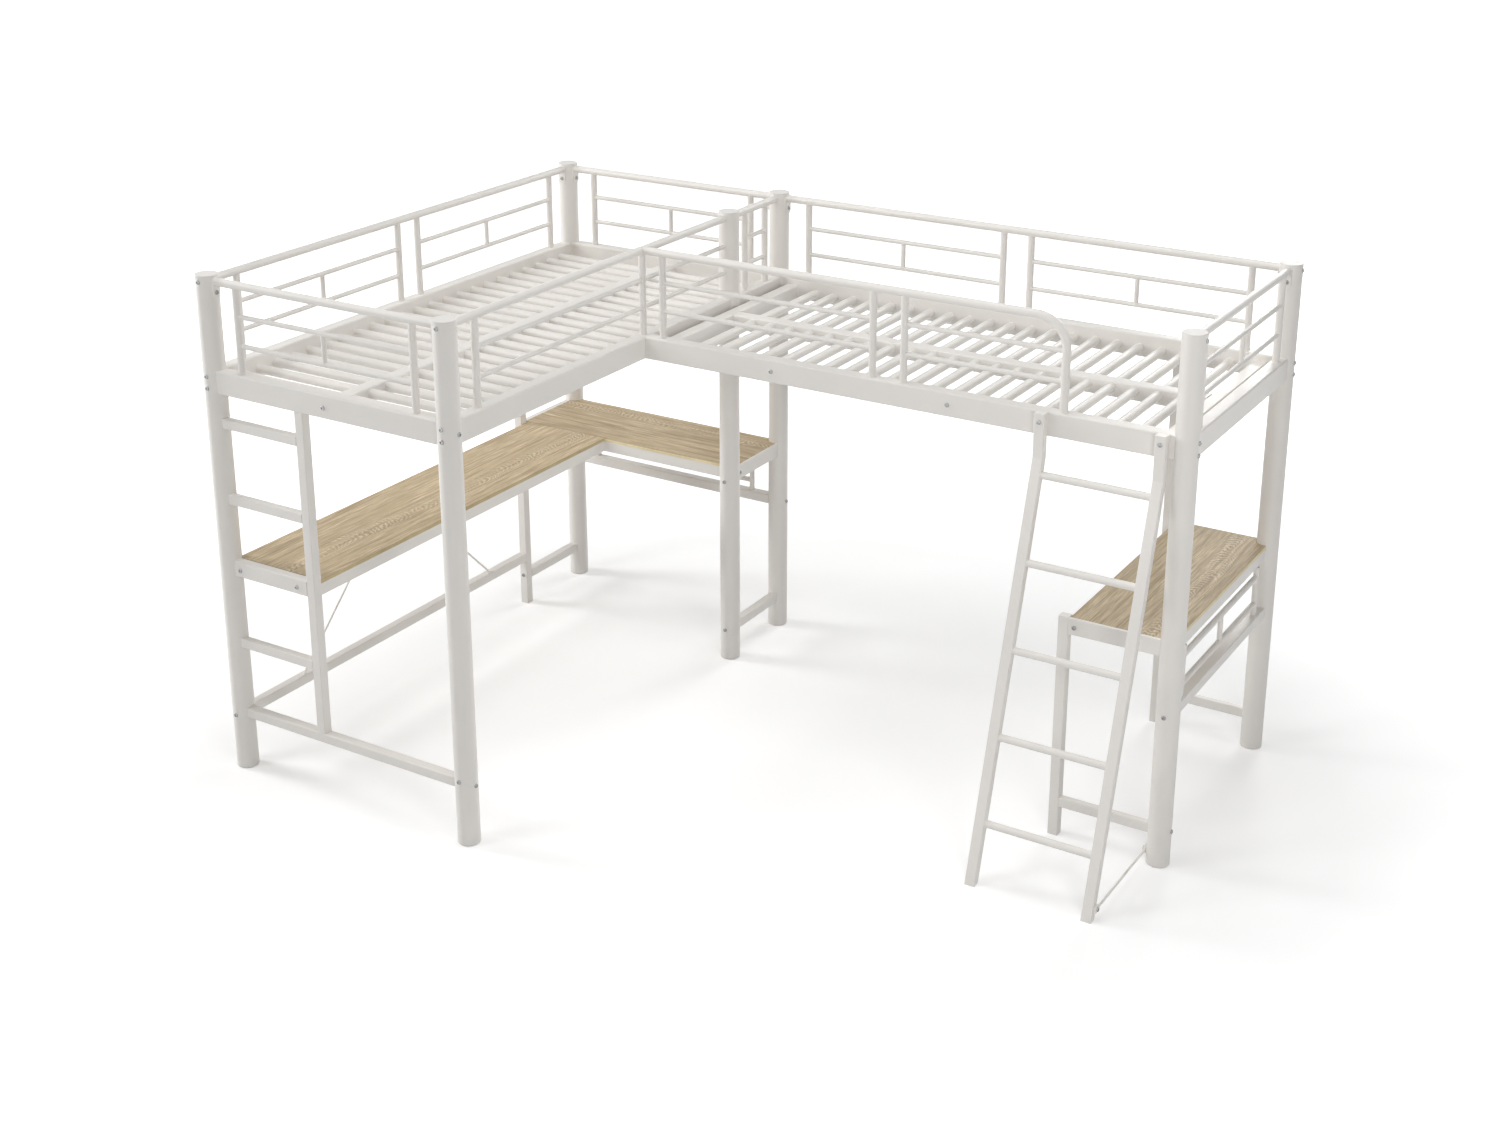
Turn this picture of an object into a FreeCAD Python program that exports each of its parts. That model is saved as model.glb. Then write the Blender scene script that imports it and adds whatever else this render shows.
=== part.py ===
import FreeCAD, Part
import os
import re

# Corner loft bed for two with three desks below it, in millimetres.
# Lengths start at the axis of the front left post. Every place is then moved so that the
# origin lies at the bottom centre, with +X along the longest side and +Z up.

doc = FreeCAD.newDocument("loft_bed")
sheet = doc.addObject("Spreadsheet::Sheet", "Dims")

sizes = {
    # plan of the post axes
    "bed_length": 1961,
    "bed_a_width": 985,
    "bed_b_width": 915,
    "desk_depth": 358,
    # round posts with a cap and a foot
    "post_diameter": 76,
    "post_wall": 1.5,
    "post_rise": 321,
    "cap_height": 4,
    "cap_curve": 2,
    "foot_height": 8,
    "foot_curve": 6,
    "plug_depth": 12,
    # bed rails, and the beams and slats between them
    "rail_top": 1455,
    "rail_height": 80,
    "rail_thickness": 48,
    "rail_wall": 1.5,
    "rail_curve": 6,
    "beam_width": 50,
    "beam_drop": 25,
    "end_beam_width": 45,
    "end_beam_gap": 25,
    "slat_diameter": 32,
    "slat_wall": 1.2,
    "slat_drop": 47,
    "slat_pitch": 80.5,
    "slat_end_gap": 60,
    # guard rails
    "guard_drop": 22,
    "guard_diameter": 28,
    "guard_wall": 1.2,
    "guard_bend": 100,
    "upright_diameter": 25,
    "bar_diameter": 17,
    "bar_upper_rise": 195,
    "bar_lower_rise": 96,
    "long_upright_offset": 130,
    "long_panel_gap": 106,
    "end_upright_offset": 127,
    "inner_upright_offset": 140,
    "short_upright_offset": 108,
    "right_upright_offset": 88,
    "front_upright_offset": 83,
    "front_panel_length": 812,
    "front_panel_gap": 113,
    "front_guard_length": 1563,
    "plate_thickness": 3,
    "plate_width": 30,
    "plate_drop": 56,
    # square legs and stretchers, and the ladder built into the left side
    "square_size": 35,
    "square_wall": 1.2,
    "square_curve": 3.5,
    "stile_reach": 375.5,
    "front_stretcher_z": 196,
    "side_stretcher_z": 188,
    "low_stretcher_z": 107,
    "slim_depth": 25,
    "rung_depth": 27,
    "rung_high_drop": 120.5,
    "rung_middle_shift": 31.75,
    "corner_leg_setback": 365,
    # desks, and the open panels behind them
    "desk_top": 782,
    "end_rail_height": 55,
    "board_thickness": 12,
    "board_fit": 0.5,
    "post_notch_gap": 1,
    "left_board_start": 20,
    "left_board_end": 391,
    "corner_board_depth": 339,
    "right_beam_gap": 3.5,
    "right_board_overhang": 5,
    "lip_corner": 21.5,
    "lip_inner": 7.5,
    "lip_right_front": 11.5,
    "lip_right_back": 1.5,
    "panel_rail_z": 514,
    "panel_rail_height": 37,
    "panel_rail_depth": 40,
    "panel_tube_diameter": 20,
    "panel_bar_lower_z": 591,
    "panel_bar_upper_z": 690,
    "panel_corner_offset": 120,
    "panel_right_offset": 104,
    # diagonal rods below the left desk
    "rod_diameter": 8,
    "rod_line": 9,
    "rod_front_foot": 286,
    "rod_back_foot": 1353,
    "rod_run": 502,
    "rod_pad_length": 30,
    "rod_pad_width": 16,
    "rod_pad_thickness": 4,
    # leaning ladder of the right bed
    "ladder_right_gap": 65,
    "ladder_spacing": 391,
    "ladder_stile_width": 35,
    "ladder_stile_depth": 30.5,
    "ladder_wall": 1.5,
    "ladder_bend_drop": 70,
    "ladder_lean": 16.3,
    "ladder_rung_diameter": 25,
    "ladder_rung_low_z": 191,
    "ladder_rung_pitch": 266.5,
    "ladder_brace_z": 40,
    "ladder_lug_length": 24,
    "ladder_lug_height": 20,
    # bolts and the nut blocks inside the tubes
    "bolt_head_diameter": 15,
    "bolt_head_height": 4,
    "bolt_head_curve": 2.5,
    "bolt_socket_width": 7,
    "bolt_socket_depth": 2.5,
    "bolt_shank_diameter": 8,
    "bolt_hole_gap": 0.2,
    "nut_inset": 3,
    "nut_length": 18,
    "rail_bolt_spacing": 40,
    "plate_bolt_drop": 36,
    "desk_bolt_drop": 30,
    "desk_bolt_inset": 59,
    "desk_bolt_spacing": 255,
    "ladder_bolt_drop": 28,
    "beam_bolt_drop": 43,
    "front_bolt_start": 527,
    "front_bolt_spacing": 650,
}

# Places that follow from the sizes.
places = {
    "right_x": "bed_a_width + bed_length",
    "right_y": "bed_length - bed_b_width",
    "inner_y": "bed_length - desk_depth",
    "leg_x": "right_x - desk_depth",
    "corner_leg_y": "bed_length - corner_leg_setback",
    "origin_x": "right_x / 2",
    "origin_y": "bed_length / 2",
    "post_radius": "post_diameter / 2",
    "post_height": "rail_top + post_rise",
    "rail_bottom": "rail_top - rail_height",
    "rail_middle": "rail_top - rail_height / 2",
    "rail_half": "rail_thickness / 2",
    "beam_half": "beam_width / 2",
    "beam_height": "rail_height - beam_drop",
    "slat_z": "rail_top - slat_drop",
    "middle_a": "bed_a_width / 2",
    "middle_b": "bed_length - bed_b_width / 2",
    "end_beam_left": "bed_a_width + rail_half + end_beam_gap",
    "end_beam_right": "right_x - rail_half - end_beam_gap - end_beam_width",
    "guard_z": "post_height - guard_drop",
    "bar_upper_z": "rail_top + bar_upper_rise",
    "bar_lower_z": "rail_top + bar_lower_rise",
    "plate_reach": "post_radius + plate_thickness",
    "half": "square_size / 2",
    "square_core": "square_size - 2 * square_wall",
    "square_nut": "square_core - 2 * square_curve",
    "nut_rise": "square_wall + square_curve",
    "stile_left": "stile_reach - half",
    "rung_high_z": "rail_bottom - rung_high_drop",
    "rung_middle_z": "(desk_top + rung_high_z) / 2 - rung_middle_shift",
    "rung_low_z": "(front_stretcher_z + desk_bottom) / 2",
    "desk_bottom": "desk_top - end_rail_height",
    "board_bottom": "desk_top - board_thickness",
    "desk_beam_height": "end_rail_height - board_thickness",
    "desk_nut": "desk_beam_height - 2 * nut_rise",
    "desk_nut_z": "desk_bottom + nut_rise",
    "desk_bolt_z": "desk_top - desk_bolt_drop",
    "corner_board_y": "bed_length - corner_board_depth",
    "right_beam_x": "leg_x + half + right_beam_gap",
    "right_board_end": "right_x + right_board_overhang",
    "panel_rail_top": "panel_rail_z + panel_rail_height",
    "rod_foot_z": "side_stretcher_z + square_size",
    "rod_rise": "desk_bottom - rod_foot_z",
    "ladder_back": "right_y - rail_half",
    "ladder_right_x": "right_x - ladder_right_gap",
    "ladder_left_x": "ladder_right_x - ladder_spacing",
    "ladder_bend_z": "rail_bottom - ladder_bend_drop",
    "ladder_length": "ladder_bend_z / cos(ladder_lean) + ladder_stile_depth",
    "mitre_reach": "5 * ladder_stile_depth",
    "ladder_brace_y": "ladder_back - ladder_stile_depth / (2 * cos(ladder_lean))"
                      " - (ladder_bend_z - ladder_brace_z) * tan(ladder_lean)",
}

for row, (alias, value) in enumerate(sizes.items(), start=1):
    sheet.set(f"A{row}", alias)
    sheet.set(f"B{row}", str(value))
    sheet.setAlias(f"B{row}", alias)
doc.recompute()

turns = {
    "X": FreeCAD.Rotation(FreeCAD.Vector(0, 1, 0), 90),
    "-X": FreeCAD.Rotation(FreeCAD.Vector(0, 1, 0), -90),
    "Y": FreeCAD.Rotation(FreeCAD.Vector(1, 0, 0), -90),
    "-Y": FreeCAD.Rotation(FreeCAD.Vector(1, 0, 0), 90),
    "Z": FreeCAD.Rotation(),
}
steps = {"X": (1, 0, 0), "-X": (-1, 0, 0), "Y": (0, 1, 0), "-Y": (0, -1, 0)}
opposite = {"X": "-X", "-X": "X", "Y": "-Y", "-Y": "Y"}
box_edges = {"X": (9, 10, 11, 12), "Y": (2, 4, 6, 8), "Z": (1, 3, 5, 7)}
bottom_circle, top_circle = (2,), (3,)

nodes = []
holes = {}
bolts = []
nuts = []


# formulas and basic shapes

def formula(text):
    def swap(match):
        word = match.group(0)
        if word in places:
            return "(" + formula(places[word]) + ")"
        return "Dims." + word if word in sizes else word
    return re.sub(r"[a-z_]+", swap, str(text))


def bind(thing, **texts):
    for name, text in texts.items():
        thing.setExpression(name, formula(text))


def place(thing, x, y, z):
    thing.setExpression("Placement.Base.x", formula(f"({x}) - origin_x"))
    thing.setExpression("Placement.Base.y", formula(f"({y}) - origin_y"))
    thing.setExpression("Placement.Base.z", formula(z))


def moved(point, way, distance):
    return tuple(f"{value} + ({step}) * ({distance})" if step else value
                 for value, step in zip(point, (*steps[way],)))


def at(axis, line, along, z):
    return (along, line, z) if axis == "X" else (line, along, z)


def box(x, y, z, length, width, height):
    thing = doc.addObject("Part::Box", "block")
    bind(thing, Length=length, Width=width, Height=height)
    place(thing, x, y, z)
    return thing


def rod(way, point, length, diameter):
    thing = doc.addObject("Part::Cylinder", "rod")
    bind(thing, Radius=f"({diameter}) / 2", Height=length)
    thing.Placement.Rotation = turns[way]
    place(thing, *point)
    return thing


def group(things):
    if len(things) == 1:
        return things[0]
    thing = doc.addObject("Part::Compound", "group")
    thing.Links = things
    return thing


def cut(base, *tools):
    for tool in tools:
        thing = doc.addObject("Part::Cut", "cut")
        thing.Base = base
        thing.Tool = tool
        base = thing
    return base


def joined(*things):
    thing = doc.addObject("Part::MultiFuse", "joined")
    thing.Shapes = list(things)
    return thing


def rounded(thing, edges, radius):
    if radius <= 0:
        return thing
    soft = doc.addObject("Part::Fillet", "rounded")
    soft.Base = thing
    soft.Edges = [(number, radius, radius) for number in edges]
    return soft


def round_tubes(way, points, length, diameter, wall):
    outer = [rod(way, point, length, diameter) for point in points]
    inner = [rod(way, point, length, f"{diameter} - 2 * {wall}") for point in points]
    return group([cut(tube, core) for tube, core in zip(outer, inner)]), group(outer)


def square_tube(axis, corner, lengths, wall, curve="square_curve", closed=False):
    core_corner = []
    core_lengths = []
    for name, low, length in zip("XYZ", corner, lengths):
        open_way = name == axis and not closed
        core_corner.append(low if open_way else f"{low} + {wall}")
        core_lengths.append(length if open_way else f"{length} - 2 * {wall}")
    radius = sheet.get(curve) if curve else 0
    outer = rounded(box(*corner, *lengths), box_edges[axis], radius)
    return cut(outer, rounded(box(*core_corner, *core_lengths), box_edges[axis], radius - sheet.get(wall)))


def node(name, *pieces):
    nodes.append((name, [piece if isinstance(piece, tuple) else (piece, name) for piece in pieces]))


# posts, caps and feet

posts = {
    "post_front_left": ("0", "0"),
    "post_front_inner": ("bed_a_width", "0"),
    "post_back_left": ("0", "bed_length"),
    "post_desk_inner": ("bed_a_width", "inner_y"),
    "post_back_middle": ("bed_a_width", "bed_length"),
    "post_back_right": ("right_x", "bed_length"),
    "post_front_right": ("right_x", "right_y"),
}
post_tools = {}
notch_tools = {}
caps = []
feet = []
plug = "post_diameter - 2 * post_wall"
for name, (x, y) in posts.items():
    post_tools[name] = rod("Z", (x, y, "0"), "post_height", "post_diameter")
    notch_tools[name] = rod("Z", (x, y, "0"), "post_height", "post_diameter + 2 * post_notch_gap")
    tube, _ = round_tubes("Z", [(x, y, "foot_height")], "post_height - cap_height - foot_height",
                          "post_diameter", "post_wall")
    node(name, tube)
    lid = rod("Z", (x, y, "post_height - cap_height"), "cap_height", "post_diameter")
    caps.append(joined(
        rounded(lid, top_circle, sheet.get("cap_curve")),
        rod("Z", (x, y, "post_height - cap_height - plug_depth"), "plug_depth", plug)))
    pad = rod("Z", (x, y, "0"), "foot_height", "post_diameter")
    feet.append(joined(
        rounded(pad, bottom_circle, sheet.get("foot_curve")),
        rod("Z", (x, y, "foot_height"), "plug_depth", plug)))
node("post_caps", *caps)
node("post_feet", *feet)


def coped(thing, names):
    return cut(thing, *[post_tools[name] for name in names])


# bolts: button heads with hexagon sockets, shanks in clear holes, nut blocks inside the tubes

def bolt(way, point, length, targets, nut=None):
    back = opposite[way]
    head = rod(back, point, "bolt_head_height", "bolt_head_diameter")
    button = rounded(head, top_circle, sheet.get("bolt_head_curve"))
    socket = doc.addObject("Part::Prism", "socket")
    socket.Polygon = 6
    bind(socket, Circumradius="bolt_socket_width / sqrt(3)", Height="bolt_socket_depth")
    socket.Placement.Rotation = turns[way]
    place(socket, *moved(point, back, "bolt_head_height"))
    bolts.append(joined(cut(button, socket), rod(way, point, length, "bolt_shank_diameter")))
    hole = rod(way, point, f"{length} + bolt_hole_gap", "bolt_shank_diameter + 2 * bolt_hole_gap")
    for target in targets:
        holes.setdefault(target, []).append(hole)
    if nut:
        nuts.append(cut(nut, hole))


# a bolt through a post into the nut block in the end of the tube behind it
def post_bolt(post, way, z, across, low, height, shift="0"):
    x, y = posts[post]
    start = "post_radius + nut_inset" if way in ("X", "Y") else "-post_radius - nut_inset - nut_length"
    side = f"{shift} - ({across}) / 2"
    if way in ("X", "-X"):
        nut = box(f"{x} + ({start})", f"{y} + {side}", low, "nut_length", across, height)
    else:
        nut = box(f"{x} + {side}", f"{y} + ({start})", low, across, "nut_length", height)
    bolt(way, moved((x, y, z), opposite[way], "post_radius"), "post_diameter + nut_inset + nut_length",
         [post], nut)


def guard_bolt(post, way):
    middle = (*posts[post], "guard_z")
    nut = rod(way, moved(middle, way, "plate_reach"), "nut_length", "guard_diameter - 2 * guard_wall")
    bolt(way, moved(middle, opposite[way], "post_radius"), "post_radius + plate_reach + nut_length",
         [post, f"plate {post} {way}"], nut)


# bed rails, coped to the posts that they meet

def rail(name, axis, line, start, end, post_names):
    corner = at(axis, f"{line} - rail_half", start, "rail_bottom")
    across = at(axis, "rail_thickness", f"{end} - ({start})", "rail_height")
    node(name, coped(square_tube(axis, corner, across, "rail_wall", "rail_curve"), post_names))


rail("rail_a_front", "X", "0", "0", "bed_a_width", ["post_front_left", "post_front_inner"])
rail("rail_a_back", "X", "bed_length", "0", "bed_a_width", ["post_back_left", "post_back_middle"])
rail("rail_a_left", "Y", "0", "0", "bed_length", ["post_front_left", "post_back_left"])
rail("rail_a_inner", "Y", "bed_a_width", "0", "inner_y", ["post_front_inner", "post_desk_inner"])
rail("rail_inner_short", "Y", "bed_a_width", "inner_y", "bed_length", ["post_desk_inner", "post_back_middle"])
rail("rail_b_front", "X", "right_y", "bed_a_width + rail_half", "right_x", ["post_front_right"])
rail("rail_b_back", "X", "bed_length", "bed_a_width", "right_x", ["post_back_middle", "post_back_right"])
rail("rail_b_end", "Y", "right_x", "right_y", "bed_length", ["post_front_right", "post_back_right"])

rail_core = "rail_thickness - 2 * rail_wall"
for post, way in (("post_front_left", "Y"), ("post_front_inner", "Y"), ("post_back_left", "-Y"),
                  ("post_back_right", "-X"), ("post_front_right", "-X")):
    for sign in ("-", "+"):
        z = f"rail_middle {sign} rail_bolt_spacing / 2"
        post_bolt(post, way, z, rail_core, f"{z} - rail_bolt_spacing / 4", "rail_bolt_spacing / 2")
for post, way in (("post_front_left", "X"), ("post_front_inner", "-X"), ("post_back_left", "X"),
                  ("post_back_middle", "-Y"), ("post_back_right", "-Y")):
    post_bolt(post, way, "rail_middle", rail_core, "rail_middle - rail_bolt_spacing / 4",
              "rail_bolt_spacing / 2")


# beams and slats

node("center_beam_a", square_tube(
    "Y", ("middle_a - beam_half", "rail_half", "rail_bottom"),
    ("beam_width", "bed_length - rail_thickness", "beam_height"), "rail_wall", "rail_curve"))
node("center_beam_b", square_tube(
    "X", ("end_beam_left + end_beam_width", "middle_b - beam_half", "rail_bottom"),
    ("end_beam_right - end_beam_left - end_beam_width", "beam_width", "beam_height"),
    "rail_wall", "rail_curve"))
node("end_beams_b", *[square_tube(
    "Y", (x, "right_y + rail_half", "rail_bottom"),
    ("end_beam_width", "bed_b_width - rail_thickness", "beam_height"), "rail_wall", "rail_curve")
    for x in ("end_beam_left", "end_beam_right")])

beam_bolt_z = "rail_top - beam_bolt_drop"
beam_core = "beam_width - 2 * rail_wall"
bolt("Y", ("middle_a", "-rail_half", beam_bolt_z), "rail_thickness + nut_length", ["rail_a_front"],
     box("middle_a - beam_half + rail_wall", "rail_half", "rail_bottom + rail_wall + rail_curve",
         beam_core, "nut_length", "beam_height - 2 * (rail_wall + rail_curve)"))


def slats(name, axis, start, length, middle, room, post_names=()):
    count = int((room - 2 * sheet.get("slat_end_gap")) // sheet.get("slat_pitch")) + 1
    spread = [f"{middle} + slat_pitch * ({number - (count - 1) / 2})" for number in range(count)]
    points = [at("Y" if axis == "X" else "X", start, along, "slat_z") for along in spread]
    tubes, _ = round_tubes(axis, points, length, "slat_diameter", "slat_wall")
    node(name, coped(tubes, post_names))


room_a = sheet.get("bed_length") - sheet.get("rail_thickness")
room_b = room_a - 2 * (sheet.get("end_beam_gap") + sheet.get("end_beam_width"))
half_a = "middle_a - rail_half - beam_half"
half_b = "bed_b_width / 2 - rail_half - beam_half"
slats("slats_a_left", "X", "rail_half", half_a, "bed_length / 2", room_a)
slats("slats_a_right", "X", "middle_a + beam_half", half_a, "bed_length / 2", room_a, ["post_desk_inner"])
slats("slats_b_front", "Y", "right_y + rail_half", half_b, "bed_a_width + bed_length / 2", room_b)
slats("slats_b_back", "Y", "middle_b + beam_half", half_b, "bed_a_width + bed_length / 2", room_b)


# guard rails: a top tube, uprights that stand on the bed rail, two rows of bars and short links

def end_plate(post, way):
    x, y = posts[post]
    low = "guard_z - plate_drop + plate_width / 2"
    high = "plate_drop - plate_width / 2"
    edge = "-plate_width / 2"
    start = "0" if way in ("X", "Y") else "-plate_reach"
    if way in ("X", "-X"):
        block = box(f"{x} + {start}", f"{y} + {edge}", low, "plate_reach", "plate_width", high)
    else:
        block = box(f"{x} + {edge}", f"{y} + {start}", low, "plate_width", "plate_reach", high)
    crown = rod(way, (x, y, "guard_z"), "plate_reach", "plate_width")
    tip = rod(way, (x, y, low), "plate_reach", "plate_width")
    bolt(opposite[way], moved((x, y, "guard_z - plate_bolt_drop"), way, "plate_reach"),
         "plate_thickness + nut_length", [post, f"plate {post} {way}"])
    return coped(joined(block, crown, tip), [post]), f"plate {post} {way}"


def guard(name, axis, line, tube, uprights, panels, links=True, plates=(), stops=(), more=()):
    start, end = tube
    top, top_tool = round_tubes(axis, [at(axis, line, start, "guard_z")], f"{end} - ({start})",
                                "guard_diameter", "guard_wall")
    stands, stand_tool = round_tubes("Z", [at(axis, line, along, "rail_top") for along in uprights],
                                     "guard_z - rail_top", "upright_diameter", "guard_wall")
    pieces = [cut(top, *stops), cut(stands, top_tool)]
    for low, high in panels:
        rows = [at(axis, line, low, z) for z in ("bar_lower_z", "bar_upper_z")]
        bars, bar_tool = round_tubes(axis, rows, f"{high} - ({low})", "bar_diameter", "guard_wall")
        pieces.append(cut(bars, stand_tool, *stops))
        if links:
            middle = at(axis, line, f"({low} + {high}) / 2", "bar_lower_z")
            link, _ = round_tubes("Z", [middle], "bar_upper_z - bar_lower_z", "bar_diameter", "guard_wall")
            pieces.append(cut(link, bar_tool))
    pieces += [end_plate(post, way) for post, way in plates]
    node(name, *pieces, *more)
    return [top_tool, stand_tool]


def between(start, end):
    return f"{start} + plate_reach", f"{end} - plate_reach"


def long_guard(name, axis, line, start, plates):
    middle = f"{start} + bed_length / 2"
    first, last = f"{start} + long_upright_offset", f"{start} + bed_length - long_upright_offset"
    left, right = f"{middle} - long_panel_gap / 2", f"{middle} + long_panel_gap / 2"
    guard(name, axis, line, between(start, f"{start} + bed_length"), [first, left, right, last],
          [(first, left), (right, last)], plates=plates)


def short_guard(name, axis, line, start, end, offset, plates):
    first, last = f"{start} + {offset}", f"{end} - {offset}"
    guard(name, axis, line, between(start, end), [first, last], [(first, last)], plates=plates)


guard_bolt("post_front_left", "Y")
guard_bolt("post_front_inner", "Y")
guard_bolt("post_back_left", "-Y")
guard_bolt("post_back_right", "-X")
long_guard("guard_a_left", "Y", "0", "0", [("post_front_left", "Y"), ("post_back_left", "-Y")])
long_guard("guard_b_back", "X", "bed_length", "bed_a_width",
           [("post_back_middle", "X"), ("post_back_right", "-X")])
short_guard("guard_a_front", "X", "0", "0", "bed_a_width", "end_upright_offset",
            [("post_front_left", "X"), ("post_front_inner", "-X")])
short_guard("guard_a_back", "X", "bed_length", "0", "bed_a_width", "end_upright_offset",
            [("post_back_left", "X"), ("post_back_middle", "-X")])
short_first, short_last = "inner_y + short_upright_offset", "bed_length - short_upright_offset"
guard("guard_inner_short", "Y", "bed_a_width", ("inner_y + plate_reach", "bed_length"),
      [short_first, short_last], [(short_first, short_last)], links=False,
      plates=[("post_desk_inner", "Y")], stops=[post_tools["post_back_middle"]])
short_guard("guard_b_end", "Y", "right_x", "right_y", "bed_length", "right_upright_offset",
            [("post_front_right", "Y"), ("post_back_right", "-Y")])
inner_tools = guard(
    "guard_a_inner", "Y", "bed_a_width", ("plate_reach", "inner_y"), ["inner_upright_offset", "right_y"],
    [("inner_upright_offset", "right_y"), ("right_y", "inner_y")], links=False,
    plates=[("post_front_inner", "Y")], stops=[post_tools["post_desk_inner"]])

# front guard of the right bed: its tube starts on the inner guard and bends down to the rail
front_first = "bed_a_width + front_upright_offset"
front_second = f"{front_first} + front_panel_length"
front_third = f"{front_second} + front_panel_gap"
front_last = "bed_a_width + front_guard_length"
bend_x = f"{front_last} - guard_bend"
bend_z = "guard_z - guard_bend"
drop, drop_tool = round_tubes("Z", [(front_last, "right_y", "rail_top")], f"{bend_z} - rail_top",
                              "guard_diameter", "guard_wall")


def quarter_bend(diameter):
    thing = doc.addObject("Part::Torus", "bend")
    bind(thing, Radius1="guard_bend", Radius2=f"({diameter}) / 2")
    thing.Angle3 = 90
    thing.Placement.Rotation = turns["-Y"]
    place(thing, bend_x, "right_y", bend_z)
    return thing


bend_tool = quarter_bend("guard_diameter")
bend = cut(bend_tool, quarter_bend("guard_diameter - 2 * guard_wall"))
guard("guard_b_front", "X", "right_y", ("bed_a_width", bend_x), [front_first, front_second, front_third],
      [(front_first, front_second), (front_third, front_last)], links=False,
      stops=[*inner_tools, drop_tool, bend_tool], more=[drop, bend])


# stretchers, legs and the ladder built into the left side

def stretcher(axis, line, start, end, z, post_names=(), depth="square_size"):
    corner = at(axis, f"{line} - half", start, z)
    lengths = at(axis, depth, f"{end} - ({start})", "square_size")
    return coped(square_tube(axis, corner, lengths, "square_wall"), post_names)


def leg(name, x, y, low, high):
    node(name, square_tube("Z", (f"{x} - half", f"{y} - half", low),
                           ("square_size", "square_size", f"{high} - ({low})"), "square_wall", closed=True))


front_stretcher_top = "front_stretcher_z + square_size"
node("front_stretcher", stretcher("X", "0", "0", "bed_a_width", "front_stretcher_z",
                                  ["post_front_left", "post_front_inner"]))
node("side_stretcher", stretcher("Y", "0", "0", "corner_leg_y - half", "side_stretcher_z", ["post_front_left"]))
node("corner_stretcher", stretcher("Y", "0", "corner_leg_y + half", "bed_length", "low_stretcher_z",
                                   ["post_back_left"]))
node("inner_stretcher", stretcher("Y", "bed_a_width", "inner_y", "bed_length", "low_stretcher_z",
                                  ["post_desk_inner", "post_back_middle"]))
node("right_stretchers", *[
    stretcher("X", line, "leg_x + half", "right_x", "low_stretcher_z", [post], "slim_depth")
    for line, post in (("right_y", "post_front_right"), ("bed_length", "post_back_right"))])
leg("side_ladder_stile", "stile_reach", "0", front_stretcher_top, "rail_bottom")
leg("corner_leg", "0", "corner_leg_y", "0", "rail_bottom")
leg("right_leg_front", "leg_x", "right_y", "0", "desk_top")
leg("right_leg_back", "leg_x", "bed_length", "0", "rail_bottom")
node("side_ladder_rungs", *[
    coped(square_tube("X", ("0", "-half", z), ("stile_left", "rung_depth", "square_size"), "square_wall"),
          ["post_front_left"]) for z in ("rung_low_z", "rung_middle_z", "rung_high_z")])


def stretcher_bolt(post, way, z, across="square_core", shift="0"):
    post_bolt(post, way, f"{z} + half", across, f"{z} + nut_rise", "square_nut", shift)


slim_core = "slim_depth - 2 * square_wall"
slim_shift = "slim_depth / 2 - half"
stretcher_bolt("post_front_left", "Y", "side_stretcher_z")
stretcher_bolt("post_front_left", "X", "front_stretcher_z")
stretcher_bolt("post_front_inner", "-X", "front_stretcher_z")
stretcher_bolt("post_desk_inner", "Y", "low_stretcher_z")
stretcher_bolt("post_front_right", "-X", "low_stretcher_z", slim_core, slim_shift)
bolt("Y", ("0", "corner_leg_y - half", "low_stretcher_z + half"), "square_size + nut_length", ["corner_leg"],
     box("-half + square_wall", "corner_leg_y + half", "low_stretcher_z + nut_rise",
         "square_core", "nut_length", "square_nut"))


# desk end rails: a tube below the board with a lip beside the board

def end_rail(axis, line, start, lip, lip_high, post_names):
    corner = at(axis, f"{line} - half", start, "desk_bottom")
    length = ("right_x" if axis == "X" else "bed_length") + f" - ({start})"
    tube = square_tube(axis, corner, at(axis, "square_size", length, "desk_beam_height"), "square_wall", None)
    edge = f"{line} + half - {lip}" if lip_high else f"{line} - half"
    ridge = box(*at(axis, edge, start, "board_bottom"), *at(axis, lip, length, "board_thickness"))
    return coped(joined(tube, ridge), post_names)


node("desk_rail_front", coped(square_tube(
    "X", ("0", "-half", "desk_bottom"), ("stile_left", "square_size", "end_rail_height"), "square_wall"),
    ["post_front_left"]))
node("desk_rail_corner", end_rail("Y", "0", "corner_leg_y + half", "lip_corner", False, ["post_back_left"]))
node("desk_rail_inner", end_rail("Y", "bed_a_width", "inner_y", "lip_inner", True,
                                 ["post_desk_inner", "post_back_middle"]))
right_front_rail = end_rail("X", "right_y", "leg_x + half", "lip_right_front", False, ["post_front_right"])
right_back_rail = end_rail("X", "bed_length", "leg_x + half", "lip_right_back", True, ["post_back_right"])
node("desk_rails_right", (right_front_rail, "right front rail"), right_back_rail)


# desk frames

def desk_beam(axis, corner, length, post_names=()):
    x, y = corner
    lengths = at(axis, "square_size", length, "desk_beam_height")
    return coped(square_tube(axis, (x, y, "desk_bottom"), lengths, "square_wall"), post_names)


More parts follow.
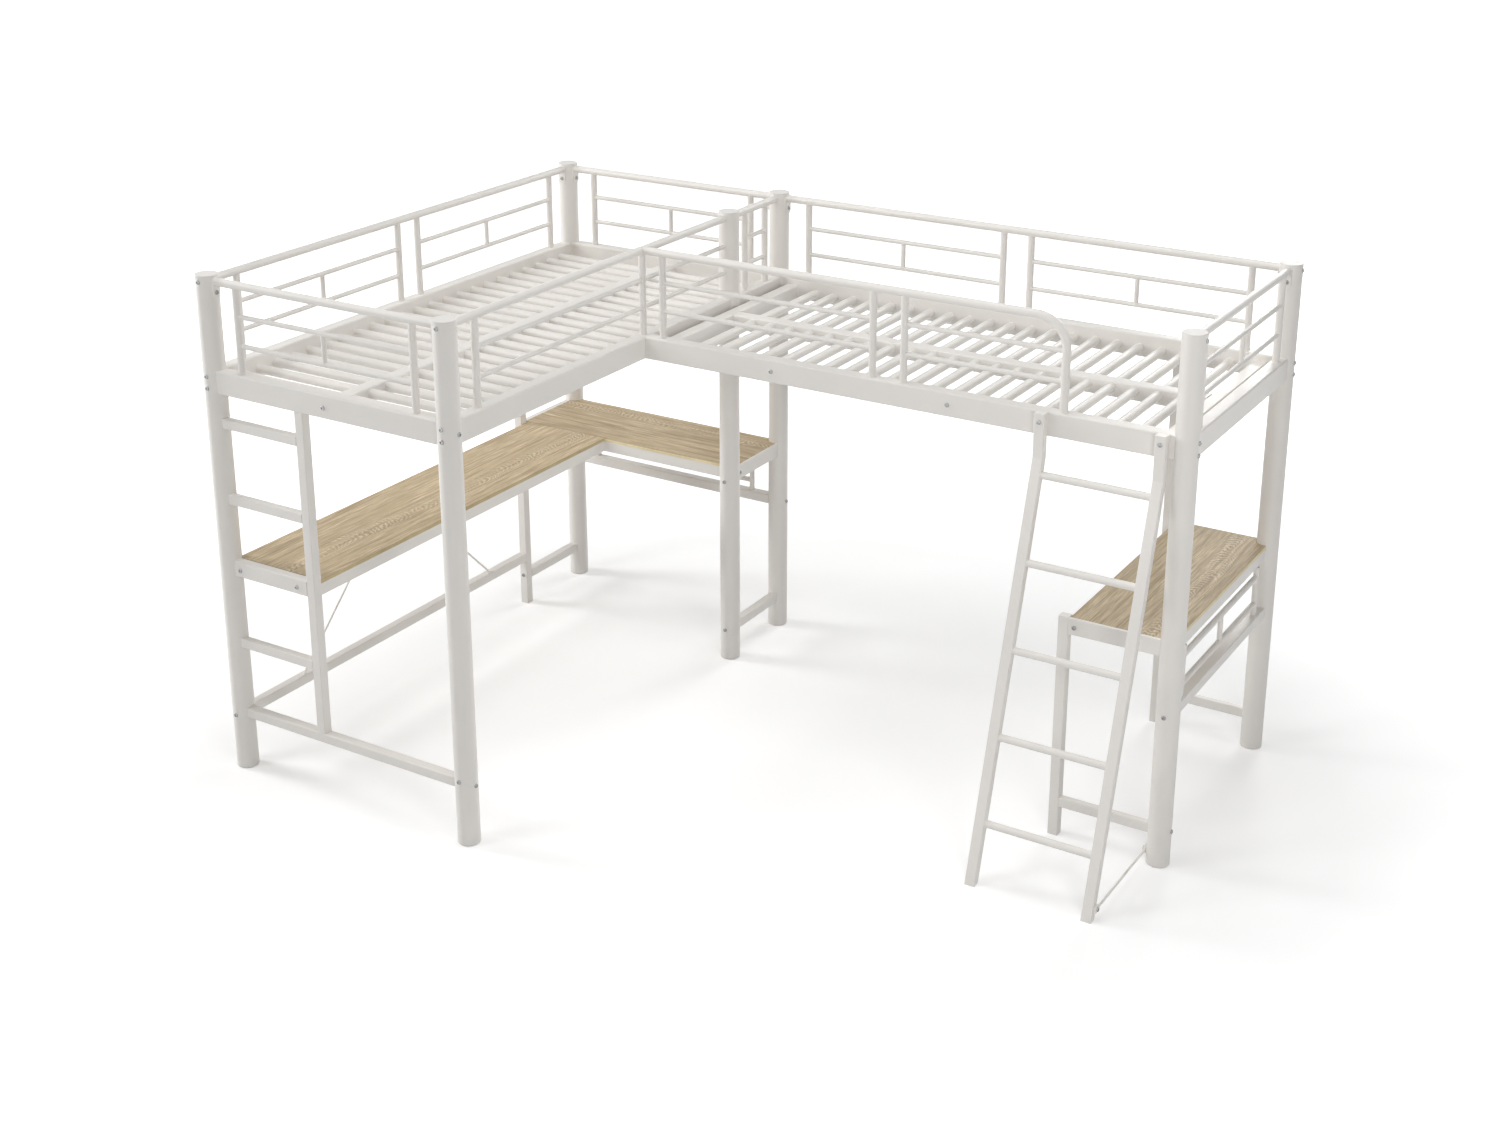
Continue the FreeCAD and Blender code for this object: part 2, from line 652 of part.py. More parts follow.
left_front_x = "left_board_end - square_size"
left_end = desk_beam("X", ("square_size", "half"), f"{left_front_x} - square_size", ["post_front_left"])
node("desk_frame_left",
     desk_beam("Y", ("0", "half"), "corner_leg_y - square_size", ["post_front_left"]),
     desk_beam("Y", (left_front_x, "half"), "corner_board_y - half"),
     (left_end, "left desk end"))
inner_span = "bed_a_width - square_size"
node("desk_frame_corner",
     desk_beam("X", ("half", "corner_board_y"), inner_span, ["post_desk_inner"]),
     desk_beam("X", ("half", "bed_length - square_size"), inner_span, ["post_back_left", "post_back_middle"]))
right_span = "bed_b_width - square_size"
node("desk_frame_right",
     desk_beam("Y", ("right_beam_x", "right_y + half"), right_span),
     desk_beam("Y", ("right_board_end - square_size", "right_y + half"), right_span,
               ["post_front_right", "post_back_right"]))

for number in range(2):
    x = f"desk_bolt_inset + {number} * desk_bolt_spacing"
    bolt("Y", (x, "-half", "desk_bolt_z"), "square_size + square_wall + nut_length",
         ["desk_rail_front", "left desk end"],
         box(f"{x} - half / 2", "half + square_wall", "desk_nut_z", "half", "nut_length", "desk_nut"))
inner_nut_y = "inner_y + post_radius"
inner_nut_width = f"corner_board_y + square_size - square_wall - ({inner_nut_y})"
bolt("-X", ("bed_a_width + half", f"{inner_nut_y} + ({inner_nut_width}) / 2", "desk_bolt_z"),
     "square_size + nut_length", ["desk_rail_inner"],
     box("bed_a_width - half - nut_length", inner_nut_y, "desk_nut_z",
         "nut_length", inner_nut_width, "desk_nut"))
bolt("Y", ("right_beam_x + half", "right_y - half", "desk_bolt_z"), "square_size + nut_length",
     ["right front rail"],
     box("right_beam_x + square_wall", "right_y + half", "desk_nut_z", "square_core", "nut_length", "desk_nut"))
low_nut_height = "(desk_bolt_z - bolt_shank_diameter - desk_bottom - square_wall)"
post_bolt("post_desk_inner", "Y", f"desk_bottom + square_wall + {low_nut_height} / 2", "square_core",
          "desk_bottom + square_wall", low_nut_height)


# desk boards, notched round the posts

def board(name, x, y, x_end, y_end, post_names):
    slab = box(x, y, "board_bottom", f"{x_end} - ({x})", f"{y_end} - ({y})", "board_thickness")
    node(name, cut(slab, *[notch_tools[post] for post in post_names]))


board("desk_board_left", "left_board_start", "half + board_fit", "left_board_end", "corner_board_y - board_fit",
      ["post_front_left"])
board("desk_board_corner", "lip_corner - half + board_fit", "corner_board_y",
      "bed_a_width + half - lip_inner - board_fit", "bed_length",
      ["post_back_left", "post_desk_inner", "post_back_middle"])
board("desk_board_right", "right_beam_x", "right_y - half + lip_right_front + board_fit", "right_board_end",
      "bed_length + half - lip_right_back - board_fit", ["post_front_right", "post_back_right"])


# open panels below the desks: a low rail, two uprights, two bars and a link

def panel(name, axis, line, start, end, offset, post_names):
    low, high = f"{start} + {offset}", f"{end} - {offset}"
    corner = at(axis, f"{line} - panel_rail_depth / 2", start, "panel_rail_z")
    lengths = at(axis, "panel_rail_depth", f"{end} - ({start})", "panel_rail_height")
    low_rail = coped(square_tube(axis, corner, lengths, "square_wall"), post_names)
    stands, stand_tool = round_tubes(
        "Z", [at(axis, line, along, "panel_rail_top") for along in (low, high)],
        "desk_bottom - panel_rail_top", "panel_tube_diameter", "guard_wall")
    rows = [at(axis, line, low, z) for z in ("panel_bar_lower_z", "panel_bar_upper_z")]
    bars, bar_tool = round_tubes(axis, rows, f"{high} - ({low})", "panel_tube_diameter", "guard_wall")
    link, _ = round_tubes("Z", [at(axis, line, f"({start} + {end}) / 2", "panel_bar_lower_z")],
                          "panel_bar_upper_z - panel_bar_lower_z", "bar_diameter", "guard_wall")
    node(name, low_rail, stands, cut(bars, stand_tool), cut(link, bar_tool))


panel("panel_corner", "X", "bed_length", "0", "bed_a_width", "panel_corner_offset",
      ["post_back_left", "post_back_middle"])
panel("panel_right", "Y", "right_x", "right_y", "bed_length", "panel_right_offset",
      ["post_front_right", "post_back_right"])
panel_middle = "panel_rail_z + panel_rail_height / 2"
panel_nut = "panel_rail_height - 2 * nut_rise"
panel_core = "panel_rail_depth - 2 * square_wall"
for post, way in (("post_back_middle", "-X"), ("post_front_right", "Y")):
    post_bolt(post, way, panel_middle, panel_core, "panel_rail_z + nut_rise", panel_nut)


# diagonal rods between flat pads on the side stretcher and below the left desk frame

brace_pieces = []
pad_places = ("rod_foot_z", "desk_bottom - rod_pad_thickness")
for foot, way in (("rod_front_foot", 1), ("rod_back_foot", -1)):
    slant = doc.addObject("Part::Cylinder", "rod")
    bind(slant, Radius="rod_diameter / 2", Height="sqrt(pow(rod_run; 2) + pow(rod_rise; 2))")
    slant.Placement.Rotation = FreeCAD.Rotation(FreeCAD.Vector(-way, 0, 0), 45)
    slant.setExpression("Placement.Rotation.Angle", formula("atan(rod_run / rod_rise)"))
    place(slant, "rod_line", foot, "rod_foot_z")
    ends = []
    for pad_z, along in zip(pad_places, (foot, f"{foot} + ({way}) * rod_run")):
        pad_y = f"{along} - rod_pad_length / 2"
        brace_pieces.append(box("rod_line - rod_pad_width / 2", pad_y, pad_z,
                                "rod_pad_width", "rod_pad_length", "rod_pad_thickness"))
        beyond = "0" if pad_z != "rod_foot_z" else "-rod_diameter"
        ends.append(box("rod_line - rod_pad_width / 2", pad_y, f"{pad_z} + {beyond}",
                        "rod_pad_width", "rod_pad_length", "rod_pad_thickness + rod_diameter"))
    brace_pieces.append(cut(slant, *ends))
node("brace_rods", *brace_pieces)


# leaning ladder: stiles that bend forward below the rail, mitred there, and are cut flat at the floor

def leaned(thing, angle):
    thing.Placement.Rotation = FreeCAD.Rotation(FreeCAD.Vector(-1, 0, 0), 10)
    thing.setExpression("Placement.Rotation.Angle", formula(angle))
    return thing


mitre = "ladder_lean / 2"
mitre_box = ("ladder_spacing + 2 * ladder_stile_width", "2 * mitre_reach", "mitre_reach")
mitre_x = "ladder_left_x - ladder_stile_width"
below_mitre = leaned(box(mitre_x, "0", "0", *mitre_box), mitre)
place(below_mitre, mitre_x, f"ladder_back - mitre_reach * (cos({mitre}) + sin({mitre}))",
      f"ladder_bend_z + mitre_reach * (sin({mitre}) - cos({mitre}))")
above_mitre = leaned(box(mitre_x, "0", "0", *mitre_box), mitre)
place(above_mitre, mitre_x, f"ladder_back - mitre_reach * cos({mitre})",
      f"ladder_bend_z + mitre_reach * sin({mitre})")


def stile_solid(x, inset, foot):
    edge = f"{x} - ladder_stile_width / 2 + {inset}"
    width = f"ladder_stile_width - 2 * ({inset})"
    depth = f"ladder_stile_depth - 2 * ({inset})"
    front = f"(ladder_stile_depth - ({inset}))"
    length = f"(ladder_length - ({foot}))"
    curve = sheet.get("square_curve") - sheet.get("ladder_wall") * (inset != "0")
    upper = box(edge, f"ladder_back - {front}", "ladder_bend_z - ladder_stile_depth", width, depth,
                f"rail_top - ladder_bend_z + ladder_stile_depth - ({inset})")
    lower = leaned(box(edge, "0", "0", width, depth, f"{length} + ladder_stile_depth"), "ladder_lean")
    place(lower, edge, f"ladder_back - {front} * cos(ladder_lean) - {length} * sin(ladder_lean)",
          f"ladder_bend_z + {front} * sin(ladder_lean) - {length} * cos(ladder_lean)")
    return joined(cut(rounded(upper, box_edges["Z"], curve), below_mitre),
                  cut(rounded(lower, box_edges["Z"], curve), above_mitre))


floor = box("leg_x - bed_length", "0", "-bed_length", "2 * bed_length", "bed_length", "bed_length")
stile_foot = "2 * ladder_stile_depth"
node("ladder_stiles", *[
    (cut(stile_solid(x, "0", "0"), stile_solid(x, "ladder_wall", stile_foot), floor), "ladder stile " + x)
    for x in ("ladder_left_x", "ladder_right_x")])
for x in ("ladder_left_x", "ladder_right_x"):
    bolt("Y", (x, "ladder_back - ladder_stile_depth", "rail_top - ladder_bolt_drop"),
         "ladder_stile_depth + rail_wall", ["ladder stile " + x, "rail_b_front"])

room_z = sheet.get("rail_top") - sheet.get("rail_height") - sheet.get("ladder_bend_drop")
rung_count = int((room_z - sheet.get("ladder_rung_low_z")) // sheet.get("ladder_rung_pitch")) + 1
rung_start = "ladder_left_x + ladder_stile_width / 2"
rung_places = []
for number in range(rung_count):
    z = f"(ladder_rung_low_z + {number} * ladder_rung_pitch)"
    y = f"ladder_back - ladder_stile_depth / (2 * cos(ladder_lean)) - (ladder_bend_z - {z}) * tan(ladder_lean)"
    rung_places.append((rung_start, y, z))
rungs, _ = round_tubes("X", rung_places, "ladder_spacing - ladder_stile_width",
                       "ladder_rung_diameter", "guard_wall")
node("ladder_rungs", rungs)

# a thin rod ties the foot of the ladder to the post, with a bolted lug at each end
brace_side = "ladder_right_x + ladder_stile_width / 2"
brace_x = "right_x - post_radius - rod_diameter / 2"
lug_low = "ladder_brace_z - ladder_lug_height / 2"
lug_half = "ladder_lug_length / 2"
lug_width = f"right_x - post_radius - ({brace_side})"
ladder_lug = box(brace_side, f"ladder_brace_y - {lug_half}", lug_low,
                 lug_width, "ladder_lug_length", "ladder_lug_height")
post_lug = box(brace_side, f"right_y - {lug_half}", lug_low,
               f"{lug_width} + post_radius", "ladder_lug_length", "ladder_lug_height")
tie_start = f"ladder_brace_y + {lug_half}"
tie = rod("Y", (brace_x, tie_start, "ladder_brace_z"), f"right_y - {lug_half} - ({tie_start})", "rod_diameter")
node("ladder_brace", tie, (ladder_lug, "ladder lug"), (coped(post_lug, ["post_front_right"]), "post lug"))
bolt("-X", ("right_x - post_radius", "ladder_brace_y", "ladder_brace_z"),
     f"{lug_width} + ladder_stile_width / 2", ["ladder lug", "ladder stile ladder_right_x"])
bolt("X", (brace_side, "right_y", "ladder_brace_z"), f"{lug_width} + nut_length",
     ["post lug", "post_front_right"])

# bolts through the front rail of the right bed, and single ones in the two front posts
for number in range(2):
    x = f"bed_a_width + front_bolt_start + {number} * front_bolt_spacing"
    bolt("Y", (x, "right_y - rail_half", "rail_middle"), "rail_thickness", ["rail_b_front"])
bolt("Y", ("bed_a_width", "-post_radius", "front_stretcher_z + half + rail_bolt_spacing / 2"), "nut_length",
     ["post_front_inner"])
bolt("-X", ("right_x + post_radius", "right_y", "guard_z"), "nut_length", ["post_front_right"])

node("bolts", *bolts)
node("bolt_nuts", *nuts)


# holes, checks and export

parts = []
for name, pieces in nodes:
    part = doc.addObject("Part::Compound", name)
    part.Label = name
    part.Links = [cut(piece, group(holes[target])) if target in holes else piece for piece, target in pieces]
    parts.append(part)
doc.recompute()

for thing in doc.Objects:
    if "Invalid" in thing.State or "Error" in thing.State:
        raise RuntimeError(f"{thing.Label} did not build: {thing.State}")
for part in parts:
    if part.Shape.isNull() or not part.Shape.isValid() or not part.Shape.Solids:
        raise RuntimeError(f"{part.Label} has no valid shape")

os.makedirs("parts", exist_ok=True)
whole = FreeCAD.BoundBox()
for part in parts:
    part.Shape.exportStep(f"parts/{part.Label}.step")
    whole.add(part.Shape.BoundBox)
    print(part.Label, len(part.Shape.Solids), "solids")
print(len(parts), "parts,", round(whole.XLength), "x", round(whole.YLength), "x", round(whole.ZLength), "mm")
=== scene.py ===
import math
import bpy
from mathutils import Matrix, Vector

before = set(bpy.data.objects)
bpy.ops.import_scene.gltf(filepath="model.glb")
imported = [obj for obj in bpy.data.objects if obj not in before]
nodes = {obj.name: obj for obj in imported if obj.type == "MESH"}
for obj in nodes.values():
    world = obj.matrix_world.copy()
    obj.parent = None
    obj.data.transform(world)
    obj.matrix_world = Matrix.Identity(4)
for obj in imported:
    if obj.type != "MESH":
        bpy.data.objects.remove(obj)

for spare in ("Cube", "Light", "Camera"):  # objects of a new file
    if spare in bpy.data.objects:
        bpy.data.objects.remove(bpy.data.objects[spare])
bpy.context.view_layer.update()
scene = bpy.context.scene
print("frame loaded,", len(nodes), "nodes")


# camera, from the photograph of 1500 x 1125
photoCamera = {
    "place": (3.3686, -5.5144, 3.532),
    "azimuth": 31.475,
    "elevation": 18.402,
    "lens": 49.267,
    "sensor": 36.0,
    "shift": (-0.00149, -0.12),
}


def setCamera(values):
    data = bpy.data.cameras.new("photoCamera")
    data.sensor_width = values["sensor"]
    data.lens = values["lens"]
    data.shift_x, data.shift_y = values["shift"]
    turn = math.radians(values["azimuth"])
    tilt = math.radians(values["elevation"])
    back = Vector((math.sin(turn) * math.cos(tilt), -math.cos(turn) * math.cos(tilt), math.sin(tilt)))
    right = Vector((math.cos(turn), math.sin(turn), 0))
    aim = Matrix((right, back.cross(right), back)).transposed().to_4x4()
    camera = bpy.data.objects.new("photoCamera", data)
    camera.matrix_world = Matrix.Translation(values["place"]) @ aim
    scene.collection.objects.link(camera)
    scene.camera = camera


setCamera(photoCamera)
print("camera set")


# node helpers
def addNode(tree, kind, **settings):
    node = tree.nodes.new(kind)
    for name, value in settings.items():
        if name in node.bl_rna.properties:
            setattr(node, name, value)
        else:
            node.inputs[name].default_value = value
    return node


def mathNode(tree, operation, first, second=None):
    node = addNode(tree, "ShaderNodeMath", operation=operation)
    for number, value in enumerate((first, second)):
        if isinstance(value, (int, float)):
            node.inputs[number].default_value = value
        elif value is not None:
            tree.links.new(value, node.inputs[number])
    return node.outputs[0]


def mixColors(tree, factor, first, second):
    node = addNode(tree, "ShaderNodeMix", data_type="RGBA")
    for number, value in ((0, factor), (6, first), (7, second)):  # sockets of the colour mix
        if isinstance(value, tuple):
            node.inputs[number].default_value = (*value, 1)
        else:
            tree.links.new(value, node.inputs[number])
    return node.outputs[2]


def spreadValue(tree, value, low, high, newLow, newHigh):
    node = tree.nodes.new("ShaderNodeMapRange")
    for number, amount in enumerate((value, low, high, newLow, newHigh)):
        if isinstance(amount, (int, float)):
            node.inputs[number].default_value = amount
        else:
            tree.links.new(amount, node.inputs[number])
    return node.outputs[0]


def addBump(tree, shader, height, strength, depth):
    bump = addNode(tree, "ShaderNodeBump", Strength=strength, Distance=depth)
    tree.links.new(height, bump.inputs["Height"])
    tree.links.new(bump.outputs[0], shader["Normal"])


# 1 where the camera sees a surface straight, in a reflection or through glass
def seenDirectly(tree):
    rays = addNode(tree, "ShaderNodeLightPath").outputs
    passedOn = mathNode(tree, "MAXIMUM", rays["Is Glossy Ray"], rays["Is Transmission Ray"])
    return mathNode(tree, "MAXIMUM", rays["Is Camera Ray"], passedOn)


def newGroup(name, inputs, outputs):
    group = bpy.data.node_groups.new(name, "ShaderNodeTree")
    for way, sockets in (("INPUT", inputs), ("OUTPUT", outputs)):
        for label, kind in sockets.items():
            group.interface.new_socket(label, in_out=way, socket_type="NodeSocket" + kind)
    return group, group.nodes.new("NodeGroupInput").outputs, group.nodes.new("NodeGroupOutput").inputs


def useGroup(tree, group, values):
    node = tree.nodes.new("ShaderNodeGroup")
    node.node_tree = group
    for name, value in values.items():
        if isinstance(value, bpy.types.NodeSocket):
            tree.links.new(value, node.inputs[name])
        else:
            node.inputs[name].default_value = value
    return node.outputs


def newMaterial(name, **settings):
    material = bpy.data.materials.new(name)
    material.use_nodes = True
    shader = material.node_tree.nodes["Principled BSDF"]
    for label, value in settings.items():
        shader.inputs[label.replace("_", " ")].default_value = value
    return material, material.node_tree, shader.inputs


# fine orange peel of a sprayed or moulded skin, with broad changes of tone
skinTexture = {
    "cloudScale": 3.2,
    "rubScale": 38.0,
    "low": 0.3,  # ends of the noise that the tones are spread over
    "high": 0.7,
}


def buildSkinGroup(values):
    group, given, put = newGroup(
        "sprayedSkin",
        {"Point": "Vector", "Light": "Color", "Dark": "Color",
         "Peel Scale": "Float", "Smooth": "Float", "Matt": "Float"},
        {"Color": "Color", "Roughness": "Float", "Height": "Float"})
    cloud = addNode(group, "ShaderNodeTexNoise", Scale=values["cloudScale"], Detail=4.0, Roughness=0.55)
    peel = addNode(group, "ShaderNodeTexNoise", Detail=2.0, Roughness=0.6)
    rub = addNode(group, "ShaderNodeTexNoise", Scale=values["rubScale"], Detail=5.0, Roughness=0.65)
    for texture in (cloud, peel, rub):
        group.links.new(given["Point"], texture.inputs["Vector"])
    group.links.new(given["Peel Scale"], peel.inputs["Scale"])
    tone = spreadValue(group, cloud.outputs[0], values["low"], values["high"], 0.0, 1.0)
    worn = spreadValue(group, rub.outputs[0], values["low"], values["high"], given["Smooth"], given["Matt"])
    group.links.new(mixColors(group, tone, given["Dark"], given["Light"]), put["Color"])
    group.links.new(worn, put["Roughness"])
    group.links.new(peel.outputs[0], put["Height"])
    return group


skinGroup = buildSkinGroup(skinTexture)

whitePaint = {
    "light": (0.845, 0.818, 0.780, 1),
    "dark": (0.815, 0.788, 0.750, 1),
    "peelScale": 620.0,
    "smooth": 0.34,
    "matt": 0.46,
    "bump": 0.06,
    "depth": 0.0006,
}
whitePlastic = {
    "light": (0.80, 0.778, 0.745, 1),
    "dark": (0.765, 0.744, 0.712, 1),
    "peelScale": 1100.0,
    "smooth": 0.45,
    "matt": 0.58,
    "bump": 0.10,
    "depth": 0.0006,
}


def skinMaterial(name, values):
    material, tree, shader = newMaterial(name)
    skin = useGroup(tree, skinGroup, {
        "Point": addNode(tree, "ShaderNodeTexCoord").outputs["Object"],
        "Light": values["light"],
        "Dark": values["dark"],
        "Peel Scale": values["peelScale"],
        "Smooth": values["smooth"],
        "Matt": values["matt"],
    })
    tree.links.new(skin["Color"], shader["Base Color"])
    tree.links.new(skin["Roughness"], shader["Roughness"])
    addBump(tree, shader, skin["Height"], values["bump"], values["depth"])
    return material


paintMaterial = skinMaterial("whitePaint", whitePaint)
plasticMaterial = skinMaterial("whitePlastic", whitePlastic)
print("paint and plastic ready")


# oak grain: scale along the board, scale across it, detail and shift of each noise
oakNoises = {
    "sway": (2.4, 0.0, 2.0, 3.0),
    "ragged": (13.0, 40.0, 4.0, 7.0),
    "patches": (7.0, 26.0, 3.0, 29.0),
    "streaks": (11.0, 260.0, 5.0, 11.0),
    "lines": (3.2, 62.0, 4.0, 13.0),
    "pores": (42.0, 640.0, 3.0, 17.0),
    "tone": (2.2, 11.0, 3.0, 23.0),
}
# a band of small crescents that wanders along the board
oakCrescents = {
    "sway": 0.12,
    "bow": 26.0,
    "ragged": 0.075,
    "waves": 300.0,
    "bandEdge": (0.4, 1.2),  # where the band fades out, in parts of its reach
    "patches": (0.38, 0.60),
    "faintest": 0.1,
}


def buildOakGroup(noises, crescents):
    group, given, put = newGroup(
        "oakGrain",
        {label: "Float" for label in ("Along", "Across", "Heart", "Slope", "Reach", "Seed")},
        {label: "Float" for label in ("Crescents", "Streaks", "Lines", "Pores", "Tone")})

    def plus(first, second):
        return mathNode(group, "ADD", first, second)

    def minus(first, second):
        return mathNode(group, "SUBTRACT", first, second)

    def times(first, second):
        return mathNode(group, "MULTIPLY", first, second)

    def noise(name):
        alongScale, acrossScale, detail, shift = noises[name]
        spot = group.nodes.new("ShaderNodeCombineXYZ")
        group.links.new(times(given["Along"], alongScale), spot.inputs[0])
        group.links.new(times(given["Across"], acrossScale), spot.inputs[1])
        group.links.new(plus(given["Seed"], shift), spot.inputs[2])
        texture = addNode(group, "ShaderNodeTexNoise", Scale=1.0, Detail=detail, Roughness=0.6)
        group.links.new(spot.outputs[0], texture.inputs["Vector"])
        return texture.outputs[0]

    sway = times(minus(noise("sway"), 0.5), crescents["sway"])
    drift = plus(times(given["Along"], given["Slope"]), sway)
    side = minus(minus(given["Across"], given["Heart"]), drift)
    bow = times(times(side, side), crescents["bow"])
    ragged = times(noise("ragged"), crescents["ragged"])
    phase = times(plus(plus(given["Along"], bow), ragged), crescents["waves"])
    away = mathNode(group, "DIVIDE", mathNode(group, "ABSOLUTE", side), given["Reach"])
    near = spreadValue(group, away, *crescents["bandEdge"], 1.0, 0.0)
    patchy = spreadValue(group, noise("patches"), *crescents["patches"], crescents["faintest"], 1.0)
    group.links.new(times(mathNode(group, "SINE", phase), times(near, patchy)), put["Crescents"])
    for name in ("streaks", "lines", "pores", "tone"):
        group.links.new(noise(name), put[name.capitalize()])
    return group


oakGroup = buildOakGroup(oakNoises, oakCrescents)

oakFinish = {
    "light": (0.765, 0.637, 0.445),
    "deep": (0.47, 0.370, 0.235),
    "shade": (0.32, 0.235, 0.142),
    "bright": (0.84, 0.73, 0.56),
    "pore": (0.27, 0.195, 0.12),
    "arris": (0.30, 0.22, 0.13),
    "Streaks": (0.37, 0.63, 1.0),  # ends of each noise, and the most that it shows
    "Lines": (0.46, 0.64, 0.70),
    "Tone": (0.42, 0.68, 0.6),
    "Pores": (0.60, 0.72, 0.6),
    "hollow": 0.5,  # dark and bright side of the crescents
    "crest": 0.6,
    "arrisHeight": 0.0012,
    "arrisShare": 0.8,
    "gloss": 0.28,
    "polish": (0.3, 0.7, 0.50, 0.68),  # ends of the pore noise, and the roughness there
    "bump": 0.12,
    "depth": 0.0008,
}
# each board's lift scales its light and deep oak colours: painted light and shade, brighter or darker copies of
# one oak for how much light reaches that board
oakBoards = {
    "desk_board_left": {"along": 1, "heart": -1.215, "slope": 0.03, "reach": 0.05, "seed": 2.0, "lift": 1.03,
                        "band": (0.60, 0.50, 0.29), "bandDeep": (0.50, 0.405, 0.225)},
    "desk_board_corner": {"along": 0, "heart": 0.90, "slope": 0.0, "reach": 0.045, "seed": 5.4, "lift": 1.0,
                          "band": (0.88, 0.77, 0.50), "bandDeep": (0.78, 0.66, 0.40)},
    "desk_board_right": {"along": 1, "heart": 1.385, "slope": 0.0, "reach": 0.04, "seed": 9.1, "lift": 0.95,
                         "band": (0.90, 0.80, 0.54), "bandDeep": (0.80, 0.69, 0.43)},
}
leftBoard = nodes["desk_board_left"]  # all three boards lie at one height
boardTop = max((leftBoard.matrix_world @ Vector(corner)).z for corner in leftBoard.bound_box)


def oakMaterial(name, finish, values):
    material, tree, shader = newMaterial(name, Specular_IOR_Level=finish["gloss"])
    point = addNode(tree, "ShaderNodeSeparateXYZ")
    tree.links.new(addNode(tree, "ShaderNodeTexCoord").outputs["Object"], point.inputs[0])
    grain = useGroup(tree, oakGroup, {
        "Along": point.outputs[values["along"]],
        "Across": point.outputs[1 - values["along"]],
        "Heart": values["heart"],
        "Slope": values["slope"],
        "Reach": values["reach"],
        "Seed": values["seed"],
    })

    def share(texture):
        low, high, most = finish[texture]
        return spreadValue(tree, grain[texture], low, high, 0.0, most)

    # top and underside
    streak, pore = share("Streaks"), share("Pores")
    # the board's lift brightens or darkens its oak colours here: painted light and shade
    light, deep = (tuple(channel * values["lift"] for channel in finish[part]) for part in ("light", "deep"))
    lined = mixColors(tree, share("Lines"), mixColors(tree, streak, deep, light), finish["shade"])
    toned = mixColors(tree, share("Tone"), lined, deep)
    hollow = mathNode(tree, "MULTIPLY", mathNode(tree, "MAXIMUM", grain["Crescents"], 0.0), finish["hollow"])
    crest = mathNode(tree, "MULTIPLY", mathNode(tree, "MINIMUM", grain["Crescents"], 0.0), -finish["crest"])
    waved = mixColors(tree, crest, mixColors(tree, hollow, toned, finish["shade"]), finish["bright"])
    face = mixColors(tree, pore, waved, finish["pore"])

    # paler edge bands, with a thin dark line along the top
    normal = addNode(tree, "ShaderNodeSeparateXYZ")
    tree.links.new(addNode(tree, "ShaderNodeNewGeometry").outputs["True Normal"], normal.inputs[0])
    edge = mathNode(tree, "LESS_THAN", mathNode(tree, "ABSOLUTE", normal.outputs[2]), 0.5)
    band = mixColors(tree, streak, values["bandDeep"], values["band"])
    upper = mathNode(tree, "GREATER_THAN", point.outputs[2], boardTop - finish["arrisHeight"])
    banded = mixColors(tree, mathNode(tree, "MULTIPLY", upper, finish["arrisShare"]), band, finish["arris"])

    tree.links.new(mixColors(tree, edge, face, banded), shader["Base Color"])
    tree.links.new(spreadValue(tree, grain["Pores"], *finish["polish"]), shader["Roughness"])
    addBump(tree, shader, mathNode(tree, "SUBTRACT", streak, pore), finish["bump"], finish["depth"])
    return material


print("oak ready")


# bolts: plated steel, slightly cloudy
boltSteel = {
    "light": (0.44, 0.44, 0.44),
    "dark": (0.27, 0.27, 0.27),
    "cloudScale": 240.0,
    "low": 0.3,
    "high": 0.7,
    "smooth": 0.22,
    "matt": 0.38,
    "bump": 0.08,
    "depth": 0.0003,
}


def steelMaterial(name, values):
    material, tree, shader = newMaterial(name, Metallic=1.0)
    cloud = addNode(tree, "ShaderNodeTexNoise", Scale=values["cloudScale"], Detail=4.0, Roughness=0.6)
    tree.links.new(addNode(tree, "ShaderNodeTexCoord").outputs["Object"], cloud.inputs["Vector"])
    tone = spreadValue(tree, cloud.outputs[0], values["low"], values["high"], 0.0, 1.0)
    worn = spreadValue(tree, cloud.outputs[0], values["low"], values["high"], values["smooth"], values["matt"])
    tree.links.new(mixColors(tree, tone, values["dark"], values["light"]), shader["Base Color"])
    tree.links.new(worn, shader["Roughness"])
    addBump(tree, shader, cloud.outputs[0], values["bump"], values["depth"])
    return material


boltMaterial = steelMaterial("boltSteel", boltSteel)
print("steel ready")


# each node takes its finish, and those not named here are painted
finishes = {
    "post_caps": plasticMaterial,
    "post_feet": plasticMaterial,
    "bolts": boltMaterial,
    "bolt_nuts": boltMaterial,
}
for name, values in oakBoards.items():
    finishes[name] = oakMaterial("oak" + name.split("_")[-1].capitalize(), oakFinish, values)
for name, piece in nodes.items():
    piece.data.materials.clear()
    piece.data.materials.append(finishes.get(name, paintMaterial))
print("finishes given")


# pale floor, white to the camera away from the bed, with the bed's own shadow near it
floorLook = {
    "size": 60.0,
    "color": (0.80, 0.80, 0.80, 1),
    "roughness": 0.9,
    "gloss": 0.1,
    "near": 2.0,
    "nearLift": 0.32,
    "far": 4.5,
    "farLift": 1.0,
}


